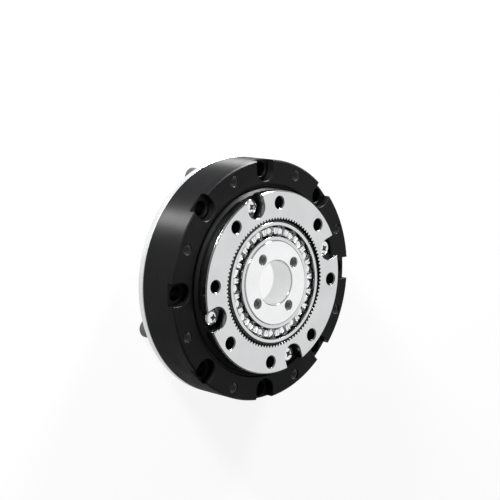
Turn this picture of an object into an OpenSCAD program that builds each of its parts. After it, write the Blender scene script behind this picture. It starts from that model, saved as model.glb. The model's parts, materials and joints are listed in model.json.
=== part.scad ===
// Strain wave gear unit with a hat-shaped flexspline and a crossed-roller bearing.
// Z is the gear axis, z = 0 the rear face of the flexspline's brim, +Z the input side.
// The housing (outer ring and flexspline) is fixed, the wave generator is the input,
// and the circular spline turns the output with the bearing's split inner ring.

/* [Unit] */
// Pitch diameter of the flexspline's teeth, from which every other diameter follows
flex_pitch_d = 48; // [45:0.5:52]
// Axial thickness of the bearing's outer ring
ring_t = 17; // [16.5:0.5:20]
// Height of the circular spline's face above the outer ring's face
spline_proud = 5.5; // [5.2:0.1:7]
// Height of the wave generator's face above the circular spline's face
hub_proud = 0.4; // [0:0.1:1]
// Small chamfer on turned edges
edge_chamfer = 0.4; // [0.2:0.05:0.5]

/* [Housing bolts] */
// Distance of the bolts' circle from the outer ring's inner land
bolt_inset = 6.1; // [6:0.1:7]
// Metal from the bolts' circle to the outside of the outer ring and of the brim
bolt_edge = 3.8; // [3.6:0.1:5]
// Number of through holes and of tapped holes between them
housing_bolts = 8; // [6:1:8]
// Through hole for an M5 bolt
housing_hole_d = 5.5; // [5.2:0.1:5.6]
// Width of the open pocket that takes a bolt head
pocket_w = 8.6; // [8.4:0.1:8.8]
// Depth of the open pocket
pocket_depth = 3; // [2:0.25:5]
// Core diameter of the M4 tapped holes in the outer ring
ring_tap_d = 3.3; // [3.2:0.05:3.4]
// Depth of the M4 tapped holes in the front face
ring_tap_depth = 6; // [4:0.5:6]
// Screws that hold the brim to the outer ring
brim_screws = 4; // [2:1:4]
// Head diameter of a brim screw
brim_screw_head_d = 7; // [6.5:0.1:7.2]
// Head height of a brim screw
brim_screw_head_h = 4; // [3:0.1:4.2]
// Length of a brim screw under its head
brim_screw_l = 8.5; // [8:0.5:9]
// Hexagon socket of a brim screw, across flats
brim_screw_hex = 3; // [2.5:0.5:3]

/* [Crossed-roller bearing] */
// Radial width of the inner ring from the spigot to its land beside the rollers
inner_ring_w = 8.3; // [8:0.1:9]
// Roller diameter
roller_d = 3.5; // [3:0.05:3.6]
// Thickness of a spacer between two rollers
spacer_t = 0.9; // [0.6:0.05:1]
// Least play along the track for each roller and its spacer
roller_room = 0.3; // [0.25:0.01:0.5]
// Radial gap between the inner and the outer ring beside the rollers
ring_gap = 0.6; // [0.4:0.05:0.8]
// How far the front end of the inner ring lies inside the circular spline's edge
inner_ring_step = 0.1; // [0:0.05:0.4]
// Gap between the inner ring and the flexspline's diaphragm
inner_ring_rear_gap = 1.6; // [1:0.1:2.5]

/* [Seal and O-ring] */
// Radial depth of the front seal's seat behind the outer ring's inner land
seal_seat_step = 0.5; // [0.3:0.05:0.8]
// Axial thickness of the front seal
seal_t = 2.4; // [2:0.1:2.8]
// Depth of the seal below the outer ring's face
seal_recess = 1; // [0.5:0.1:1.5]
// Cord diameter of the O-ring between outer ring and brim
o_ring_cord = 1; // [0.8:0.05:1.1]
// Distance of that O-ring's middle from the bore of the brim
o_ring_edge = 1.15; // [1.05:0.05:1.3]

/* [Circular spline] */
// Wall between the tooth spaces and the spigot
spline_wall = 2.55; // [2.2:0.05:3.5]
// How far the flange's edge lies inside the land of the bearing's inner ring
flange_inset = 0.8; // [0.3:0.1:1.2]
// Thickness of the flange
spline_flange_t = 4.8; // [4:0.1:5]
// Distance of the output bolts' circle from the spigot
output_edge = 3; // [2.8:0.1:3.3]
// Number of output bolt holes
output_bolts = 8; // [4:4:8]
// Hole for an M4 output bolt
output_hole_d = 4.5; // [4.2:0.1:4.6]
// Core diameter of the M4 thread for the output bolts in the inner ring
output_tap_d = 3.3; // [3.2:0.05:3.4]
// Depth of that thread below the inner ring's front face
output_tap_depth = 12; // [10:0.5:13]
// Width of the notches that clear the screw heads
notch_w = 8.4; // [7.5:0.1:8.8]
// Chamfer round the notches
notch_chamfer = 0.3; // [0.1:0.05:0.4]
// Distance from the spigot of the screws that join the two halves of the inner ring
ring_screw_edge = 3.5; // [3.2:0.1:3.8]
// Number of those screws and of the notches
ring_screws = 4; // [2:2:4]
// Head diameter of those M3 screws
ring_screw_head_d = 6; // [5.4:0.1:6.2]
// Head height of those screws
ring_screw_head_h = 2.3; // [2:0.1:2.4]
// Length of those screws under the head
ring_screw_l = 14; // [13:0.5:15]

/* [Tooth mesh] */
// Teeth of the flexspline; the circular spline has two more
flex_teeth = 100; // [98:2:100]
// Height of a tooth above its pitch line
addendum = 0.4; // [0.36:0.01:0.42]
// Depth of a tooth space of the flexspline below its pitch line
flex_dedendum = 0.5; // [0.48:0.01:0.56]
// Depth of a tooth space of the circular spline beyond its pitch line
spline_dedendum = 0.47; // [0.45:0.01:0.55]
// Angle of the tooth flanks
flank_angle = 25; // [22:1:28]
// Play between the flanks, measured along the pitch line
flank_play = 0.09; // [0.07:0.01:0.12]
// Length of the circular spline's teeth
tooth_l = 10; // [9:0.5:10.5]
// Depth of the flexspline's rim below the circular spline's face
rim_recess = 0.3; // [0.2:0.05:0.5]

/* [Flexspline] */
// Thickness of the brim
brim_t = 3; // [2.5:0.1:3.5]
// How far the thick part of the brim lies outside the outer ring's inner land
brim_step = 1.2; // [0.8:0.1:1.4]
// Wall of the rim under the teeth
rim_wall = 0.45; // [0.43:0.01:0.5]
// Wall of the cup between its foot and the teeth
cup_wall = 0.38; // [0.3:0.01:0.39]
// Thickness of the diaphragm and of the turn at the cup's foot
diaphragm_t = 0.45; // [0.43:0.01:0.6]
// Height of the diaphragm above the rear face
diaphragm_z = 1.2; // [0.8:0.1:1.6]
// Radius of the turn from the diaphragm into the cup
cup_turn_r = 1.6; // [1.2:0.1:2]

/* [Wave generator hub] */
// Radial wall of the hub from its shaft bore to the seat of its bearing
hub_wall = 7.57; // [7.4:0.01:9]
// Length of the hub
hub_l = 10.4; // [10:0.1:11]
// Distance of the tapped holes' circle from the wall of the shaft bore
input_edge = 3.2; // [2.8:0.1:3.6]
// Number of tapped holes
input_bolts = 4; // [2:1:6]
// Core diameter of the M4 thread
input_tap_d = 3.3; // [3.2:0.05:3.4]

/* [Wave generator bearing] */
// Axial width of the bearing
flex_bearing_w = 7; // [6.6:0.1:7.4]
// Depth of the bearing's front face below the circular spline's face
flex_bearing_recess = 0; // [0:0.1:1]
// Ball diameter
ball_d = 5; // [4.8:0.05:5.05]
// Least room between two balls, for a finger of the retainer
ball_room = 0.85; // [0.8:0.05:1.2]
// Wall of the outer race under its groove
outer_race_wall = 0.9; // [0.6:0.05:1]
// Wall of the inner race under its groove
inner_race_wall = 1; // [0.8:0.05:1.2]
// Depth of both ball grooves
groove_depth = 0.43; // [0.3:0.01:0.5]
// Radial width of the ball retainer
retainer_w = 2.6; // [2.2:0.1:3]
// Width of the mouth between two fingers of the retainer
retainer_mouth = 4.1; // [3.8:0.05:4.3]

/* [Rest position] */
// Angle of the wave generator's long axis from the first housing bolt
wave_angle = 35.8; // [0:0.1:90]
// Angle of the first output bolt from the first housing bolt
output_angle = -4.1; // [-22.5:0.1:22.5]
// Angle of the first retainer finger from the long axis
finger_angle = 12.2; // [0:0.1:17]

/* [Clearances] */
// Radial fit of parts that are centred in each other
fit = 0.02; // [0.01:0.005:0.03]
// Play of the rollers and balls to each of their tracks
track_play = 0.02; // [0.01:0.005:0.04]
// Play of the balls in the retainer's pockets
pocket_play = 0.1; // [0.05:0.01:0.15]
// Radial play of a screw in its tapped hole
thread_play = 0.02; // [0.01:0.005:0.03]
// Gap at a seal's lip
lip_gap = 0.05; // [0.03:0.01:0.1]

/* [Hidden] */
$fn = 96;
eps = 0.01;
overcut = 1;

// Heights along the axis
ring_z0 = brim_t;
ring_z1 = ring_z0 + ring_t;
face_z = ring_z1 + spline_proud;
hub_z1 = face_z + hub_proud;
hub_z0 = hub_z1 - hub_l;
seat_z = face_z - spline_flange_t;
spline_z0 = face_z - tooth_l;
rim_z = face_z - rim_recess;
track_z = ring_z0 + ring_t / 2;
inner_ring_z0 = diaphragm_z + diaphragm_t + inner_ring_rear_gap;
race_z1 = face_z - flex_bearing_recess;
race_z0 = race_z1 - flex_bearing_w;
ball_z = (race_z0 + race_z1) / 2;

// Radii of the tooth mesh
tooth_module = round(10000 * flex_pitch_d / flex_teeth) / 10000;
spline_teeth = flex_teeth + 2;
flex_r = tooth_module * flex_teeth / 2;
spline_r = tooth_module * spline_teeth / 2;
flex_root_r = flex_r - flex_dedendum;
rim_bore_r = flex_root_r - rim_wall;
cup_mid_r = flex_root_r - rim_wall / 2;
spline_tip_r = spline_r - addendum;
spline_root_r = spline_r + spline_dedendum;
tooth_pitch = PI * tooth_module;
flank_slope = tan(flank_angle);

// Radii of the wave generator, as the circles that its ovals are bent from
outer_race_r = rim_bore_r - fit;
outer_groove_r = outer_race_r - outer_race_wall;
ball_path_r = outer_groove_r - track_play - ball_d / 2;
inner_groove_r = ball_path_r - ball_d / 2 - track_play;
inner_race_r = inner_groove_r - inner_race_wall;
hub_r = inner_race_r - fit;
hub_bore_r = hub_r - hub_wall;
input_circle_r = hub_bore_r + input_edge;
groove_arc_r = ball_d / 2 + track_play;
ball_count = floor(2 * PI * ball_path_r / (ball_d + ball_room));

// The oval is four tangent arcs. The lines between their centres make 3-4-5 triangles, so
// the long axis is longer than the short one by twice the deflection. A circle that is
// bent into the oval keeps its length: its end arcs are smaller by end_shift and its side
// arcs larger by side_shift.
deflection = spline_r - flex_r;
end_c = 3 * deflection;
side_c = 4 * deflection;
end_arc = 53.1301;
end_shift = round(5 * deflection * (90 - end_arc) / 90 * 10000) / 10000;
side_shift = 5 * deflection - end_shift;

// Radii of the circular spline and of the crossed-roller bearing, from the teeth outward
spigot_r = spline_root_r + spline_wall;
output_circle_r = spigot_r + output_edge;
ring_screw_circle_r = spigot_r + ring_screw_edge;
inner_land_r = spigot_r + inner_ring_w;
roller_path_r = inner_land_r + ring_gap / 2;
outer_land_r = inner_land_r + ring_gap;
flange_r = inner_land_r - flange_inset;
inner_ring_front_r = flange_r - inner_ring_step;
roller_count = 2 * floor(PI * roller_path_r / (roller_d + spacer_t + roller_room));
roller_l = roller_d - 0.1;
track_reach = (roller_d / 2 + track_play) * sqrt(2);
track_relief = 0.25;

// Radii of the housing
seal_seat_r = outer_land_r + seal_seat_step;
brim_bore_r = outer_land_r + brim_step;
o_ring_r = brim_bore_r + o_ring_edge;
housing_circle_r = outer_land_r + bolt_inset;
unit_r = housing_circle_r + bolt_edge;

// Screws and the clearance holes that they pass through
m4_d = 4;
m3_d = 3;
m4_hole_d = 4.5;
m3_hole_d = 3.4;

// Angles of what repeats round the axis
housing_angles = [for (i = [0 : housing_bolts - 1]) i * 360 / housing_bolts];
ring_tap_angles = [for (a = housing_angles) a + 180 / housing_bolts];
brim_screw_angles = [for (i = [0 : brim_screws - 1]) 180 / housing_bolts
    + round(i * housing_bolts / brim_screws) * 360 / housing_bolts];
output_angles = [for (i = [0 : output_bolts - 1]) output_angle + i * 360 / output_bolts];
ring_screw_angles = [for (i = [0 : ring_screws - 1])
    output_angle + 180 / output_bolts + i * 360 / ring_screws];
input_angles = [for (i = [0 : input_bolts - 1]) wave_angle + i * 360 / input_bolts];

// ---- Functions and shapes that several parts share ----

// Direction of the oval's normal at mean angle t from the long axis, on the oval that is
// bent from a circle of radius r; the arc length along that oval is r * t
function oval_normal(t, r) =
    let (turn = 180 * round(t / 180),
         u = t - turn,
         end_t = end_arc * (r - end_shift) / r)
    abs(u) <= end_t
        ? turn + u * r / (r - end_shift)
        : turn + sign(u) * (end_arc + (abs(u) - end_t) * r / (r + side_shift));

// Point where the normal has direction psi, on the oval bent from a circle of radius r
function oval_point(psi, r) =
    let (normal = [cos(psi), sin(psi)])
    abs(normal[0]) >= cos(end_arc)
        ? [sign(normal[0]) * end_c, 0] + (r - end_shift) * normal
        : [0, -sign(normal[1]) * side_c] + (r + side_shift) * normal;

// Corners of one tooth or tooth space: c is its middle on the pitch line, psi its outward
// direction, each corner is [height over the pitch line, sideways distance]
function tooth_points(c, psi, corners) =
    [for (p = corners) c + p[0] * [cos(psi), sin(psi)] + p[1] * [-sin(psi), cos(psi)]];

// Ring whose cross-section, drawn by the children at its mean radius, follows the oval
module oval_ring() {
    rotate(wave_angle) for (mx = [0, 1], my = [0, 1])
        mirror([mx, 0, 0]) mirror([0, my, 0]) {
            translate([end_c, 0, 0]) rotate_extrude(angle = end_arc)
                translate([-end_shift, 0]) children();
            translate([0, -side_c, 0]) rotate_extrude(angle = 90 - end_arc, start = end_arc)
                translate([side_shift, 0]) children();
        }
}

module around(angles) {
    for (a = angles) rotate(a) children();
}

// Hole sunk from z = 0, with a chamfered mouth
module sunk_hole(d, depth, chamfer) {
    mouth_r = d / 2 + chamfer + eps;
    rotate_extrude() polygon([
        [0, -depth], [d / 2, -depth], [d / 2, -chamfer], [mouth_r, eps],
        [mouth_r, overcut], [0, overcut]]);
}

// Hole right through from z0 to z1, with both mouths chamfered
module through_hole(d, z0, z1, chamfer) {
    mouth_r = d / 2 + chamfer + eps;
    rotate_extrude() polygon([
        [0, z0 - overcut], [mouth_r, z0 - overcut], [mouth_r, z0 - eps],
        [d / 2, z0 + chamfer], [d / 2, z1 - chamfer],
        [mouth_r, z1 + eps], [mouth_r, z1 + overcut], [0, z1 + overcut]]);
}

// Slot sunk from z = 0, round about the origin and open towards +X, with a chamfered rim
module open_slot(w, depth, reach, chamfer) {
    translate([0, 0, -depth]) cylinder(d = w, h = depth + overcut);
    translate([0, -w / 2, -depth]) cube([reach, w, depth + overcut]);
    translate([0, 0, -chamfer])
        cylinder(d1 = w, d2 = w + 2 * (chamfer + eps), h = chamfer + eps);
    rotate([90, 0, 90]) linear_extrude(reach)
        polygon([[-w / 2, -chamfer], [w / 2, -chamfer],
                 [w / 2 + chamfer + eps, eps], [-w / 2 - chamfer - eps, eps]]);
}

// Half of a roller track's cross-section, from the middle plane up, for a ring that lies
// on the side of the rollers given by out: 1 outside them, -1 inside
function track_profile(out, land_r) = [
    [roller_path_r + out * (track_reach + track_relief), track_z],
    [roller_path_r + out * (track_reach + track_relief), track_z + track_relief],
    [roller_path_r + out * (track_reach - track_relief), track_z + track_relief],
    [land_r, track_z + track_reach - abs(land_r - roller_path_r)]
];

function mirrored_track(points) =
    [for (i = [len(points) - 1 : -1 : 0]) [points[i][0], 2 * track_z - points[i][1]]];

// ---- Fixed parts ----

module outer_ring() {
    upper = track_profile(1, outer_land_r);
    seal_z = ring_z1 - seal_recess - seal_t;
    groove_h = o_ring_cord * 0.75;
    groove_w = o_ring_cord * 1.3;
    pocket_chamfer = edge_chamfer / 2;
    color("#202124") difference() {
        rotate_extrude() polygon(concat(
            [[unit_r - edge_chamfer / 2, ring_z0],
             [unit_r, ring_z0 + edge_chamfer / 2],
             [unit_r, ring_z1 - 1.5 * edge_chamfer],
             [unit_r - 1.5 * edge_chamfer, ring_z1],
             [seal_seat_r + edge_chamfer, ring_z1],
             [seal_seat_r, ring_z1 - edge_chamfer],
             [seal_seat_r, seal_z],
             [outer_land_r, seal_z]],
            [for (i = [3 : -1 : 0]) upper[i]],
            [for (i = [1 : 3]) mirrored_track(upper)[3 - i]],
            [[outer_land_r, ring_z0],
             [o_ring_r - groove_w / 2, ring_z0],
             [o_ring_r - groove_w / 2, ring_z0 + groove_h],
             [o_ring_r + groove_w / 2, ring_z0 + groove_h],
             [o_ring_r + groove_w / 2, ring_z0]]));
        around(housing_angles)
            translate([housing_circle_r, 0, ring_z1]) {
                sunk_hole(housing_hole_d, ring_t + overcut, eps);
                open_slot(pocket_w, pocket_depth, unit_r, pocket_chamfer);
            }
        around(ring_tap_angles)
            translate([housing_circle_r, 0, ring_z1])
                sunk_hole(ring_tap_d, ring_tap_depth, edge_chamfer);
        around(brim_screw_angles)
            translate([housing_circle_r, 0, ring_z0]) mirror([0, 0, 1])
                sunk_hole(m4_d + 2 * thread_play, brim_screw_l - brim_t + 1, edge_chamfer / 2);
    }
}

module brim_o_ring() {
    groove_h = o_ring_cord * 0.75;
    color("#161616") rotate_extrude()
        translate([o_ring_r, ring_z0 + groove_h / 2])
            intersection() {
                circle(d = o_ring_cord);
                square([o_ring_cord, groove_h - 2 * fit], center = true);
            }
}

module front_seal() {
    z1 = ring_z1 - seal_recess;
    z0 = z1 - seal_t;
    out_r = seal_seat_r - fit;
    lip_r = inner_land_r + lip_gap;
    body_r = (out_r + lip_r) / 2;
    color("#141414") rotate_extrude() polygon([
        [out_r, z0 + fit],
        [out_r, z1],
        [lip_r + edge_chamfer / 2, z1],
        [lip_r, z1 - edge_chamfer / 2],
        [lip_r, z1 - seal_t / 3],
        [body_r, z1 - seal_t / 2],
        [body_r, z0 + seal_t / 3],
        [lip_r, z0 + seal_t / 4],
        [lip_r, z0 + fit]]);
}

module brim_screws_m4() {
    color("#2a2a2c") around(brim_screw_angles)
        translate([housing_circle_r, 0, 0]) {
            difference() {
                rotate_extrude() polygon([
                    [0, -brim_screw_head_h],
                    [brim_screw_head_d / 2 - edge_chamfer, -brim_screw_head_h],
                    [brim_screw_head_d / 2, -brim_screw_head_h + edge_chamfer],
                    [brim_screw_head_d / 2, 0],
                    [0, 0]]);
                translate([0, 0, -brim_screw_head_h - overcut])
                    cylinder(d = brim_screw_hex / cos(30), $fn = 6,
                             h = brim_screw_head_h / 2 + overcut);
            }
            cylinder(d = m4_d, h = brim_screw_l - edge_chamfer);
            translate([0, 0, brim_screw_l - edge_chamfer])
                cylinder(d1 = m4_d, d2 = m4_d - 2 * edge_chamfer, h = edge_chamfer);
        }
}

// Outline of the deformed tooth ring: a hundred teeth spaced evenly along the oval
function flex_outline() = [
    for (k = [0 : flex_teeth - 1])
        let (psi = oval_normal(k * 360 / flex_teeth, flex_r),
             half = (tooth_pitch / 2 - flank_play / 2) / 2,
             root = half + flex_dedendum * flank_slope,
             tip = half - addendum * flank_slope)
        each tooth_points(oval_point(psi, flex_r), psi,
            [[-flex_dedendum, -root], [addendum, -tip], [addendum, tip], [-flex_dedendum, root]])
];

// Wall of the cup: from the round collar at its foot, at z0, straight lines join the circle
// of each radius to the oval bent from it, at z1. The oval goes on to z2 inside the rim.
module cup_loft(z0, z1, z2) {
    steps = 96;
    out_r = cup_mid_r + cup_wall / 2;
    in_r = cup_mid_r - cup_wall / 2;
    function ring(r, z, bent) = [
        for (i = [0 : steps - 1])
            let (t = i * 360 / steps,
                 p = bent ? oval_point(oval_normal(t, r), r) : r * [cos(t), sin(t)])
            [p[0], p[1], z]
    ];
    points = concat(ring(out_r, z0, false), ring(out_r, z1, true), ring(out_r, z2, true),
                    ring(in_r, z2, true), ring(in_r, z1, true), ring(in_r, z0, false));
    faces = [
        for (band = [0 : 5], i = [0 : steps - 1])
            let (a = band * steps, b = (band + 1) % 6 * steps, j = (i + 1) % steps)
            each [[a + i, b + i, b + j], [a + i, b + j, a + j]]
    ];
    polyhedron(points, faces);
}

// Rim of the cup with its teeth, bent to the oval from z0 to z1
module toothed_rim(z0, z1) {
    difference() {
        rotate(wave_angle) translate([0, 0, z0]) linear_extrude(z1 - z0)
            polygon(flex_outline());
        translate([0, 0, z0 - overcut]) cylinder(r = rim_bore_r - 2, h = z1 - z0 + 2 * overcut);
        oval_ring() translate([rim_bore_r - 3, z0 - overcut])
            square([3, z1 - z0 + 2 * overcut]);
    }
}

module flexspline() {
    front_z = diaphragm_z + diaphragm_t;
    turn_z = front_z + cup_turn_r;
    turn_r = cup_mid_r + diaphragm_t / 2 + cup_turn_r;
    turn_out = cup_turn_r + diaphragm_t;
    rim_z0 = spline_z0 - rim_recess;
    color("#c9cacc") {
        difference() {
            // Brim and diaphragm
            rotate_extrude() polygon([
                [turn_r, diaphragm_z],
                [brim_bore_r - diaphragm_z, diaphragm_z],
                [brim_bore_r, 0],
                [unit_r - 1.5 * edge_chamfer, 0],
                [unit_r, 1.5 * edge_chamfer],
                [unit_r, brim_t - edge_chamfer / 2],
                [unit_r - edge_chamfer / 2, brim_t],
                [brim_bore_r, brim_t],
                [brim_bore_r - (brim_t - front_z), front_z],
                [turn_r, front_z]]);
            around(housing_angles)
                translate([housing_circle_r, 0, -overcut])
                    cylinder(d = housing_hole_d, h = brim_t + 2 * overcut);
            around(brim_screw_angles)
                translate([housing_circle_r, 0, -overcut])
                    cylinder(d = m4_hole_d, h = brim_t + 2 * overcut);
        }
        // Turn from the diaphragm into the cup, with the collar at its end
        rotate_extrude() {
            intersection() {
                translate([turn_r, turn_z]) difference() {
                    circle(r = turn_out);
                    circle(r = cup_turn_r);
                }
                translate([turn_r - turn_out, diaphragm_z]) square(turn_out);
            }
            translate([turn_r - turn_out, turn_z]) square([diaphragm_t, diaphragm_t]);
        }
        rotate(wave_angle) cup_loft(turn_z, rim_z0, rim_z0 + 1);
        toothed_rim(rim_z0, rim_z);
    }
}

// ---- Output parts ----

// Tooth spaces of the circular spline, as one outline
function spline_outline() = [
    for (k = [0 : spline_teeth - 1])
        let (psi = k * 360 / spline_teeth,
             half = (tooth_pitch / 2 + flank_play / 2) / 2,
             tip = half + addendum * flank_slope,
             root = half - spline_dedendum * flank_slope)
        each tooth_points(spline_r * [cos(psi), sin(psi)], psi,
            [[-addendum, -tip], [spline_dedendum, -root],
             [spline_dedendum, root], [-addendum, tip]])
];

module circular_spline() {
    color("#d4d5d7") difference() {
        rotate_extrude() polygon([
            [spline_tip_r - 1, spline_z0],
            [spigot_r - edge_chamfer, spline_z0],
            [spigot_r, spline_z0 + edge_chamfer],
            [spigot_r, seat_z],
            [flange_r - edge_chamfer / 2, seat_z],
            [flange_r, seat_z + edge_chamfer / 2],
            [flange_r, face_z - edge_chamfer],
            [flange_r - edge_chamfer, face_z],
            [spline_tip_r - 1, face_z]]);
        translate([0, 0, spline_z0 - overcut]) rotate(wave_angle)
            linear_extrude(tooth_l + 2 * overcut) polygon(spline_outline());
        around(output_angles)
            translate([output_circle_r, 0, face_z])
                sunk_hole(output_hole_d, spline_flange_t + overcut, edge_chamfer);
        around(ring_screw_angles)
            translate([ring_screw_circle_r, 0, face_z])
                open_slot(notch_w, spline_flange_t, flange_r, notch_chamfer);
    }
}

module inner_ring_front() {
    step_z = ring_z1 - seal_recess + 0.3;
    color("#242528") difference() {
        rotate_extrude() polygon(concat(
            [[spigot_r + fit, track_z]],
            track_profile(-1, inner_land_r),
            [[inner_land_r, step_z],
             [inner_ring_front_r, step_z + (inner_land_r - inner_ring_front_r)],
             [inner_ring_front_r, seat_z - edge_chamfer],
             [inner_ring_front_r - edge_chamfer, seat_z],
             [spigot_r + fit, seat_z]]));
        around(output_angles)
            translate([output_circle_r, 0, seat_z])
                sunk_hole(output_tap_d, seat_z - track_z + overcut, edge_chamfer);
        around(ring_screw_angles)
            translate([ring_screw_circle_r, 0, seat_z])
                sunk_hole(m3_hole_d, seat_z - track_z + overcut, edge_chamfer / 2);
    }
}

module inner_ring_rear() {
    color("#242528") difference() {
        rotate_extrude() polygon(concat(
            [[spigot_r + fit, inner_ring_z0],
             [inner_land_r - edge_chamfer, inner_ring_z0],
             [inner_land_r, inner_ring_z0 + edge_chamfer]],
            mirrored_track(track_profile(-1, inner_land_r)),
            [[spigot_r + fit, track_z]]));
        around(output_angles)
            translate([output_circle_r, 0, seat_z - output_tap_depth])
                cylinder(d = output_tap_d, h = output_tap_depth);
        around(ring_screw_angles)
            translate([ring_screw_circle_r, 0, seat_z - ring_screw_l - 1])
                cylinder(d = m3_d + 2 * thread_play, h = ring_screw_l);
    }
}

module inner_ring_screws_m3() {
    head_r = ring_screw_head_d / 2;
    dome = ring_screw_head_h * 0.45;
    color("#e2e3e4") around(ring_screw_angles)
        translate([ring_screw_circle_r, 0, seat_z]) {
            difference() {
                rotate_extrude() polygon(concat(
                    [[0, 0], [head_r, 0]],
                    [for (a = [0 : 15 : 75])
                        [head_r - dome * (1 - cos(a)), ring_screw_head_h - dome * (1 - sin(a))]],
                    [[head_r - dome, ring_screw_head_h], [0, ring_screw_head_h]]));
                for (a = [0, 90]) rotate(a)
                    translate([0, 0, ring_screw_head_h])
                        cube([ring_screw_head_d * 0.55, ring_screw_head_d * 0.16,
                              ring_screw_head_h], center = true);
            }
            translate([0, 0, edge_chamfer - ring_screw_l])
                cylinder(d = m3_d, h = ring_screw_l - edge_chamfer);
            translate([0, 0, -ring_screw_l])
                cylinder(d1 = m3_d - 2 * edge_chamfer, d2 = m3_d, h = edge_chamfer);
        }
}

// One roller, its axis along X before it is leaned over
module roller(lean) {
    bevel = roller_d / 20;
    translate([roller_path_r, 0, track_z]) rotate([0, 90 + lean, 0])
        rotate_extrude() polygon([
            [0, -roller_l / 2], [roller_d / 2 - bevel, -roller_l / 2],
            [roller_d / 2, -roller_l / 2 + bevel], [roller_d / 2, roller_l / 2 - bevel],
            [roller_d / 2 - bevel, roller_l / 2], [0, roller_l / 2]]);
}

module rollers_leaning_out() {
    color("#d8d9da") for (i = [0 : 2 : roller_count - 1])
        rotate(i * 360 / roller_count) roller(45);
}

module rollers_leaning_in() {
    color("#d8d9da") for (i = [1 : 2 : roller_count - 1])
        rotate(i * 360 / roller_count) roller(-45);
}

module roller_spacers() {
    color("#e6e1cf") for (i = [0 : roller_count - 1])
        rotate((i + 0.5) * 360 / roller_count)
            translate([roller_path_r, spacer_t / 2, track_z]) rotate([90, 0, 0])
                cylinder(d = roller_d - 0.5, h = spacer_t);
}

// ---- Input parts ----

module wave_generator_hub() {
    core_r = hub_r - 1.5;
    shoulder_r = inner_groove_r + groove_depth / 2;
    color("#dcdddf") {
        // Round core with the shaft bore and the tapped holes
        difference() {
            translate([0, 0, hub_z0]) cylinder(r = core_r + 0.5, h = hub_l);
            through_hole(2 * hub_bore_r, hub_z0, hub_z1, edge_chamfer);
            around(input_angles) translate([input_circle_r, 0, 0])
                through_hole(input_tap_d, hub_z0, hub_z1, edge_chamfer);
        }
        // Oval seat of the bearing, with the shoulder behind it
        oval_ring() polygon([
            [core_r, hub_z0],
            [shoulder_r - edge_chamfer, hub_z0],
            [shoulder_r, hub_z0 + edge_chamfer],
            [shoulder_r, race_z0 - fit],
            [hub_r, race_z0 - fit],
            [hub_r, hub_z1 - edge_chamfer],
            [hub_r - edge_chamfer, hub_z1],
            [core_r, hub_z1]]);
    }
}

// Cross-section of a race between radii r0 and r1, with rounded grooves for the balls
module race_profile(r0, r1) {
    difference() {
        translate([r0, race_z0]) square([r1 - r0, flex_bearing_w]);
        translate([ball_path_r, ball_z]) circle(r = groove_arc_r);
    }
}

module flex_inner_race() {
    color("#c4c6c9") oval_ring()
        race_profile(inner_race_r, inner_groove_r + groove_depth);
}

module flex_outer_race() {
    color("#c4c6c9") oval_ring()
        race_profile(outer_groove_r - groove_depth, outer_race_r);
}

// Each child is placed on the ball path, its X axis along the oval's normal
module on_ball_path(first) {
    for (i = [0 : ball_count - 1]) {
        psi = oval_normal(first + i * 360 / ball_count, ball_path_r);
        p = oval_point(psi, ball_path_r);
        rotate(wave_angle) translate([p[0], p[1], ball_z]) rotate(psi) children();
    }
}

module flex_balls() {
    color("#e8e9ea") on_ball_path(finger_angle - 180 / ball_count) sphere(d = ball_d);
}

module ball_retainer() {
    pocket_r = ball_d / 2 + pocket_play;
    floor_t = 0.7;
    z0 = ball_z - pocket_r - floor_t;
    z1 = ball_z + pocket_r + 0.1;
    mouth_z = sqrt(pow(pocket_r, 2) - pow(retainer_mouth / 2, 2));
    color("#d9dadb") difference() {
        oval_ring() translate([ball_path_r - retainer_w / 2, z0])
            square([retainer_w, z1 - z0]);
        on_ball_path(finger_angle - 180 / ball_count) {
            sphere(r = pocket_r);
            translate([-retainer_w, -retainer_mouth / 2, mouth_z])
                cube([2 * retainer_w, retainer_mouth, pocket_r]);
        }
    }
}

outer_ring();
inner_ring_front();
inner_ring_rear();
rollers_leaning_out();
rollers_leaning_in();
roller_spacers();
front_seal();
brim_o_ring();
brim_screws_m4();
inner_ring_screws_m3();
circular_spline();
flexspline();
wave_generator_hub();
flex_inner_race();
flex_outer_race();
flex_balls();
ball_retainer();
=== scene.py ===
"""Dresses a strain wave gear unit: turned and ground steel, a black bearing ring, fine teeth,
an oval ball bearing, screws and threads, on a pale floor in soft studio light."""
import json
import math
import bmesh
import bpy
from bpy.props import FloatProperty, FloatVectorProperty, IntProperty, PointerProperty
from bpy.types import Operator, Panel, PropertyGroup
from mathutils import Matrix, Vector


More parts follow.
